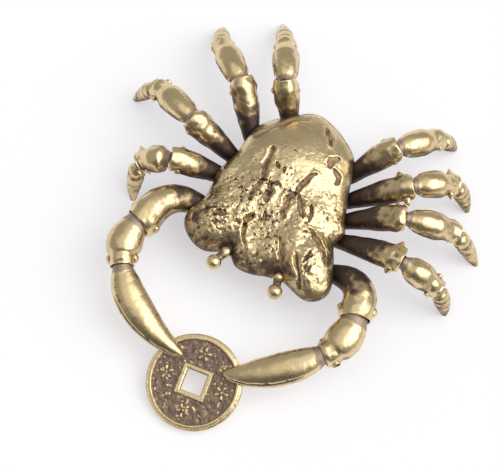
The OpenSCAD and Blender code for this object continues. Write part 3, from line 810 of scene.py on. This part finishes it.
def petal_marks(x, y):
    """Raised generic petals between the frame and the rim."""
    mark = np.zeros(len(x))
    for k in range(4):
        a = math.radians(90 * k)
        u = x * math.cos(a) + y * math.sin(a) - PETALS_OUT
        v = -x * math.sin(a) + y * math.cos(a)
        r = np.hypot(u, v)
        leaf = bell(r - 0.95, 0.55) * ease(np.cos(5 * np.arctan2(v, u)), 0.15, 0.6)
        mark = np.maximum(mark, np.maximum(leaf, bell(r, 0.3)))
    return ease(mark, 0.3, 0.7)


def coin_height(x, y, side):
    """Height of a coin face over its middle plane, with patina and wear."""
    r = np.hypot(x, y)
    square = np.maximum(np.abs(x), np.abs(y))
    flat = with_height(np.column_stack([x, y]), 5.0 * side)
    wobble = 0.07 * noise(flat, 1.3, 91)
    rim = ease(r + wobble, COIN_R - COIN_RIM - 0.12, COIN_R - COIN_RIM + 0.1)
    step = ease(r + wobble, COIN_R - COIN_RIM * 0.48, COIN_R - COIN_RIM * 0.34)
    border = 1 - ease(square + wobble * 0.6, FRAME / 2 - 0.12, FRAME / 2 + 0.08)
    marks = petal_marks(x, y)
    high = np.maximum(np.maximum(rim, border), marks * 0.9)
    rough = 0.09 * noise(flat, 0.8, 92) + 0.07 * noise(flat, 0.4, 93)
    z = COIN_T / 2 - COIN_SUNK * 1.5 * (1 - high) + rough * (1 - 0.8 * high)
    z -= 0.09 * bell(r - (COIN_R - COIN_RIM * 0.42), 0.12)
    z -= 0.05 * np.abs(noise(flat, 1.1, 94)) * rim * step
    z -= 0.25 * bell(r - COIN_R, 0.22) + 0.12 * bell(square - HOLE / 2, 0.14)
    flecks = ease(noise(flat, 0.5, 96) + 0.5 * noise(flat, 0.25, 97), 0.3, 0.7)
    dark = (1 - high) * (0.8 + 0.25 * noise(flat, 0.7, 95)) * (1 - 0.8 * flecks)
    dark = np.maximum(dark, 0.95 * bell(r + wobble - (COIN_R - COIN_RIM - 0.2), 0.16))
    worn = np.maximum(border, np.maximum(rim * 0.85, marks))
    return z, dark, worn


def build_coin(looks):
    """Coin as one closed band of rings: front face, edge, rear face and the walls of its hole."""
    count = COIN_AROUND
    angles = ring_angles(count)
    c, s = np.cos(angles), np.sin(angles)
    hole = HOLE / 2 / np.maximum(np.abs(c), np.abs(s))
    skin = Skin(count)

    def ring(g, side):
        r = hole + (COIN_R - hole) * g
        x, y = r * c, r * s
        z, dark, worn = coin_height(x, y, side)
        skin.add(np.column_stack([x, y, z * side]), dark=dark, worn=worn)

    def wall(r, heights, dark):
        for z in heights:
            skin.add(with_height(np.column_stack([r * c, r * s]), z), dark=dark)

    for g in np.linspace(0, 1, COIN_RINGS):
        ring(g, 1)
    wall(COIN_R + 0.03, (0.4, 0, -0.4), 0.45)
    for g in np.linspace(1, 0, COIN_RINGS):
        ring(g, -1)
    wall(hole, (-0.3, 0.3), 0.6)
    turn = np.array([[math.cos(COIN_TURN), -math.sin(COIN_TURN), 0],
                     [math.sin(COIN_TURN), math.cos(COIN_TURN), 0], [0, 0, 1]])
    tilt = np.array([[1, 0, 0], [0, math.cos(COIN_TILT), -math.sin(COIN_TILT)],
                     [0, math.sin(COIN_TILT), math.cos(COIN_TILT)]])
    lift = COIN_R * math.sin(COIN_TILT) + COIN_T / 2 * math.cos(COIN_TILT)
    points = np.array(skin.rings).reshape(-1, 3) @ (tilt @ turn).T + np.array([0, -COIN_AHEAD, lift])
    n, m = count, len(skin.rings)
    k, i = np.meshgrid(np.arange(m), np.arange(n), indexing="ij")
    j, after = (i + 1) % n, (k + 1) % m
    quads = np.stack([k * n + i, after * n + i, after * n + j, k * n + j], axis=-1).reshape(-1, 4)
    values = {name: skin.flat(name) for name in ("dark", "worn", "raw")}
    new_piece("coin_cast", "coin", points, quads.tolist(), values, looks["coin"])


# ---- materials

def wire(tree, a, b):
    tree.links.new(a, b)


def maths(tree, kind, a, b=None, clamp=False):
    n = tree.nodes.new("ShaderNodeMath")
    n.operation = kind
    n.use_clamp = clamp
    for k, value in enumerate((a, b)):
        if value is None:
            continue
        if isinstance(value, (int, float)):
            n.inputs[k].default_value = value
        else:
            wire(tree, value, n.inputs[k])
    return n.outputs[0]


def blend_colour(tree, factor, a, b):
    n = tree.nodes.new("ShaderNodeMix")
    n.data_type = "RGBA"
    for socket, value in ((n.inputs[0], factor), (n.inputs[6], a), (n.inputs[7], b)):
        if isinstance(value, tuple):
            socket.default_value = (*value, 1)
        elif isinstance(value, (int, float)):
            socket.default_value = value
        else:
            wire(tree, value, socket)
    return n.outputs[2]


def remap(tree, value, low, high, to_low=0.0, to_high=1.0):
    n = tree.nodes.new("ShaderNodeMapRange")
    n.interpolation_type = "SMOOTHSTEP"
    wire(tree, value, n.inputs[0])
    for k, v in enumerate((low, high, to_low, to_high)):
        n.inputs[k + 1].default_value = v
    return n.outputs[0]


def noise_node(tree, coords, per_mm, detail=4.0, rough=0.55):
    n = tree.nodes.new("ShaderNodeTexNoise")
    n.inputs["Scale"].default_value = per_mm * 1000
    n.inputs["Detail"].default_value = detail
    n.inputs["Roughness"].default_value = rough
    wire(tree, coords, n.inputs["Vector"])
    return n.outputs["Fac"]


def cell_node(tree, coords, per_mm):
    n = tree.nodes.new("ShaderNodeTexVoronoi")
    n.inputs["Scale"].default_value = per_mm * 1000
    wire(tree, coords, n.inputs["Vector"])
    return n.outputs["Distance"]


def value_of(tree, name):
    n = tree.nodes.new("ShaderNodeAttribute")
    n.attribute_name = name
    return n.outputs["Fac"]


METAL = (0.80, 0.64, 0.37)
LIMB_METAL = (0.79, 0.63, 0.36)
PIN_METAL = (0.82, 0.66, 0.38)
TARNISH = (0.50, 0.38, 0.22)
# Dark patina colour, which also carries the painted shade of undersides and of the belly.
PATINA_AND_SHADE = (0.13, 0.092, 0.078)
COIN_PATINA = (0.27, 0.2, 0.165)
RAW = (0.4, 0.31, 0.26)
BROWN = (0.5, 0.34, 0.17)
# Darker copies of the brass for the belly: painted shade under the shell.
SHADED_UNDER_METAL = (0.5, 0.38, 0.2)
SHADED_UNDER_TARNISH = (0.3, 0.2, 0.11)
BUMP_DEPTH = 0.00012


def aged_brass(name, metal, tarnish, patina, painted_base_shade=0.0, pits=0.5, polish=0.3, grain_bump=0.55):
    """Worn brass: polished metal, patchy tarnish, and dark patina mixed with painted shade where the mesh
    says so.
    """
    material = bpy.data.materials.new(name)
    material.use_nodes = True
    tree = material.node_tree
    shader = tree.nodes["Principled BSDF"]
    coords = tree.nodes.new("ShaderNodeTexCoord").outputs["Object"]
    broad = noise_node(tree, coords, 0.16, 3)
    patch = noise_node(tree, coords, 0.9, 5, 0.6)
    fine = noise_node(tree, coords, 3.2, 4, 0.6)
    pit = cell_node(tree, coords, 1.7)
    pit_mask = maths(tree, "MULTIPLY", remap(tree, pit, 0.24, 0.1), remap(tree, patch, 0.52, 0.66))
    pit_mask = maths(tree, "MULTIPLY", pit_mask, pits)
    # The base value darkens the whole material evenly, as painted shade.
    dark = maths(tree, "ADD", value_of(tree, "dark"), painted_base_shade)
    uneven = maths(tree, "MULTIPLY", maths(tree, "SUBTRACT", patch, 0.5), 0.9)
    aged = maths(tree, "ADD", dark, maths(tree, "MULTIPLY", uneven, remap(tree, dark, 0.05, 0.35)))
    aged = maths(tree, "MAXIMUM", remap(tree, aged, 0.18, 0.85), pit_mask, clamp=True)
    clouds = remap(tree, broad, 0.35, 0.7, 0, 0.36)
    tone = maths(tree, "ADD", clouds, remap(tree, fine, 0.42, 0.75, 0, 0.3))
    tone = maths(tree, "SUBTRACT", tone, value_of(tree, "worn"), clamp=True)
    raw = value_of(tree, "raw")
    clean = blend_colour(tree, tone, metal, tarnish)
    clean = blend_colour(tree, maths(tree, "MULTIPLY", raw, 0.85), clean, RAW)
    clean = blend_colour(tree, remap(tree, aged, 0.0, 0.5, 0, 0.6), clean, BROWN)
    wire(tree, blend_colour(tree, aged, clean, patina), shader.inputs["Base Color"])
    shader.inputs["Metallic"].default_value = 1.0
    spoiled = maths(tree, "MAXIMUM", aged, raw)
    rough = maths(tree, "ADD", polish, maths(tree, "MULTIPLY", spoiled, 0.26))
    rough = maths(tree, "ADD", rough, remap(tree, fine, 0.35, 0.75, -0.04, 0.1))
    wire(tree, rough, shader.inputs["Roughness"])
    bump_height = maths(tree, "MULTIPLY", fine, 0.5)
    bump_height = maths(tree, "ADD", bump_height, maths(tree, "MULTIPLY", patch, 0.8))
    bump_height = maths(tree, "SUBTRACT", bump_height, maths(tree, "MULTIPLY", pit_mask, 1.2))
    grain = noise_node(tree, coords, 5.0, 3, 0.7)
    grain = maths(tree, "MULTIPLY", grain, maths(tree, "MULTIPLY", spoiled, 2.0))
    bump_height = maths(tree, "ADD", bump_height, grain)
    bump = tree.nodes.new("ShaderNodeBump")
    bump.inputs["Strength"].default_value = grain_bump
    bump.inputs["Distance"].default_value = BUMP_DEPTH
    wire(tree, bump_height, bump.inputs["Height"])
    wire(tree, bump.outputs[0], shader.inputs["Normal"])
    return material


def make_looks():
    return {
        "shell": aged_brass("shell_brass", METAL, TARNISH, PATINA_AND_SHADE, pits=0.7, polish=0.27),
        "limb": aged_brass("limb_brass", LIMB_METAL, TARNISH, PATINA_AND_SHADE, pits=0.45, polish=0.25,
                           grain_bump=0.32),
        "pin": aged_brass("pin_brass", PIN_METAL, TARNISH, PATINA_AND_SHADE, pits=0.3, polish=0.24),
        # The belly's brass is a darker copy with extra darkness throughout: painted shade under the shell.
        "under": aged_brass("underbody_brass", SHADED_UNDER_METAL, SHADED_UNDER_TARNISH, PATINA_AND_SHADE, painted_base_shade=0.2,
                            pits=0.6, polish=0.4),
        "coin": aged_brass("coin_brass", PIN_METAL, TARNISH, COIN_PATINA, pits=0.4, polish=0.28),
    }


# ---- surroundings

FLOOR_HALF = 3.0
FLOOR_LIT = (0.8, 0.8, 0.8)
FLOOR_SEEN = (0.55, 0.56, 0.57)
FLOOR_GLOW = (0.99, 0.965, 1.0)
FLOOR_GLOW_STRENGTH = 0.51


def make_floor():
    """Pale floor, which lights the object plainly and shows white with a soft shadow."""
    mesh = bpy.data.meshes.new("floor")
    corners = [(x * FLOOR_HALF, y * FLOOR_HALF, 0) for x, y in ((-1, -1), (1, -1), (1, 1), (-1, 1))]
    mesh.from_pydata(corners, [], [(0, 1, 2, 3)])
    floor = bpy.data.objects.new("floor", mesh)
    bpy.context.scene.collection.objects.link(floor)
    material = bpy.data.materials.new("pale_floor")
    material.use_nodes = True
    tree = material.node_tree
    tree.nodes.remove(tree.nodes["Principled BSDF"])
    plain = tree.nodes.new("ShaderNodeBsdfDiffuse")
    plain.inputs["Color"].default_value = (*FLOOR_LIT, 1)
    pale = tree.nodes.new("ShaderNodeBsdfDiffuse")
    pale.inputs["Color"].default_value = (*FLOOR_SEEN, 1)
    glow = tree.nodes.new("ShaderNodeEmission")
    glow.inputs["Color"].default_value = (*FLOOR_GLOW, 1)
    glow.inputs["Strength"].default_value = FLOOR_GLOW_STRENGTH
    both = tree.nodes.new("ShaderNodeAddShader")
    wire(tree, pale.outputs[0], both.inputs[0])
    wire(tree, glow.outputs[0], both.inputs[1])
    rays = tree.nodes.new("ShaderNodeLightPath")
    seen = maths(tree, "MAXIMUM", rays.outputs["Is Camera Ray"], rays.outputs["Is Transmission Ray"])
    seen = maths(tree, "MAXIMUM", seen, rays.outputs["Is Glossy Ray"])
    choice = tree.nodes.new("ShaderNodeMixShader")
    wire(tree, seen, choice.inputs[0])
    wire(tree, plain.outputs[0], choice.inputs[1])
    wire(tree, both.outputs[0], choice.inputs[2])
    wire(tree, choice.outputs[0], tree.nodes["Material Output"].inputs["Surface"])
    mesh.materials.append(material)


AMBIENT = 0.43
STUDIO_TINT = (1.0, 0.985, 0.96)
# direction of a soft light, cosines at its edge and where it is full, and its strength
SOFT_LIGHTS = (
    ((0.6, 0.18, 0.77), 0.8, 0.95, 2.5),
    ((-0.17, 0.05, 0.98), 0.8, 0.98, 0.5),
    ((0.25, -0.9, 0.3), 0.5, 0.97, -0.3),
)


def make_world():
    """Studio round the object: a soft light high on the crab's left, a paler sky, darker low in front."""
    world = bpy.data.worlds.new("studio")
    bpy.context.scene.world = world
    world.use_nodes = True
    tree = world.node_tree
    ground = tree.nodes["Background"]
    coords = tree.nodes.new("ShaderNodeTexCoord").outputs["Generated"]

    def toward(direction, low, high, strength):
        n = tree.nodes.new("ShaderNodeVectorMath")
        n.operation = "DOT_PRODUCT"
        wire(tree, coords, n.inputs[0])
        n.inputs[1].default_value = tuple(unit(np.array(direction)))
        return remap(tree, n.outputs["Value"], low, high, 0.0, strength)

    level_of = AMBIENT
    for light in SOFT_LIGHTS:
        level_of = maths(tree, "ADD", level_of, toward(*light))
    lit = tree.nodes.new("ShaderNodeVectorMath")
    lit.operation = "SCALE"
    lit.inputs[0].default_value = STUDIO_TINT
    wire(tree, level_of, lit.inputs["Scale"])
    wire(tree, lit.outputs[0], ground.inputs["Color"])
    white = tree.nodes.new("ShaderNodeBackground")
    white.inputs["Strength"].default_value = 1.0
    white.inputs["Color"].default_value = (1, 1, 1, 1)
    rays = tree.nodes.new("ShaderNodeLightPath")
    choice = tree.nodes.new("ShaderNodeMixShader")
    wire(tree, rays.outputs["Is Camera Ray"], choice.inputs[0])
    wire(tree, ground.outputs[0], choice.inputs[1])
    wire(tree, white.outputs[0], choice.inputs[2])
    wire(tree, choice.outputs[0], tree.nodes["World Output"].inputs["Surface"])


CAMERA_ANGLES = (27.41, 68.06, 0.18)
CAMERA_TARGET = np.array([-3.81, 5.47, 8.0])
CAMERA_AWAY = 467.73
PIXELS_PER_MM = 5
IMAGE_WIDTH = 500
SENSOR_WIDTH = 36


def make_camera():
    turn, height, roll = (math.radians(a) for a in CAMERA_ANGLES)
    ahead, raised = math.cos(height), math.sin(height)
    back = np.array([math.sin(turn) * ahead, -math.cos(turn) * ahead, raised])
    right = np.array([math.cos(turn), math.sin(turn), 0.0])
    up = np.cross(back, right)
    r = right * math.cos(roll) + up * math.sin(roll)
    u = -right * math.sin(roll) + up * math.cos(roll)
    where = (CAMERA_TARGET + CAMERA_AWAY * back - CENTRE) * 0.001
    data = bpy.data.cameras.new("camera")
    data.sensor_width = SENSOR_WIDTH
    data.lens = SENSOR_WIDTH * PIXELS_PER_MM * CAMERA_AWAY / IMAGE_WIDTH
    data.clip_start = 0.01
    camera = bpy.data.objects.new("camera", data)
    bpy.context.scene.collection.objects.link(camera)
    columns = np.column_stack([r, u, back])
    matrix = Matrix.Identity(4)
    for row in range(3):
        for column in range(3):
            matrix[row][column] = columns[row][column]
        matrix[row][3] = where[row]
    camera.matrix_world = matrix
    bpy.context.scene.camera = camera


make_camera()
make_world()
make_floor()
bpy.context.scene.view_settings.view_transform = "Standard"
looks = make_looks()
for index, (leg, places) in enumerate(LEGS.items()):
    build_leg(leg, places, 100 + 40 * index, looks)
for index, (arm, places) in enumerate(ARMS.items()):
    build_arm(arm, places, 500 + 40 * index, looks)
build_carapace(looks)
build_underbody(looks)
build_eye("right_eye", -1, looks)
build_eye("left_eye", 1, looks)
build_coin(looks)
